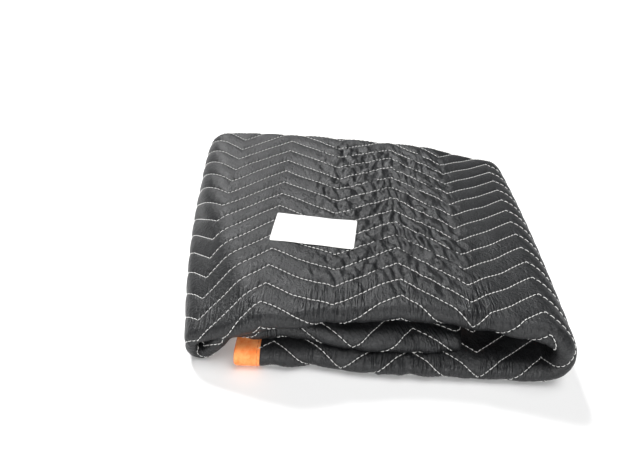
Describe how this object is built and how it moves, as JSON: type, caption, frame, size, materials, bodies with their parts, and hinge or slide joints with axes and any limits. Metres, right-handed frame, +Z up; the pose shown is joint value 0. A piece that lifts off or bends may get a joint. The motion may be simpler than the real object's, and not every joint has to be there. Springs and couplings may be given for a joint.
{
  "type": "quilted moving pad",
  "caption": "Quilted cloth moving pad with bound edges and a blank sewn label, folded into a flat bundle that rests on a surface.",
  "frame": {"origin": "on the surface that the folded pad rests on, under the middle of its box", "axes": "+Z up; +X along the bundle's long side, towards the folded side; +Y to the back, where the pad's bound long edges lie"},
  "size_m": [0.5978, 0.5036, 0.0991],
  "materials": {
    "quilted_cloth": "smooth woven cloth with a soft sheen",
    "binding": "matte woven tape",
    "label": "matte",
    "thread": "matte"
  },
  "bodies": {
    "root": {"pad": "quilted_cloth", "binding_outer_end": "binding", "binding_inner_end": "binding", "binding_side_lower": "binding", "binding_side_upper": "binding", "label": "label"}
  },
  "joints": []
}
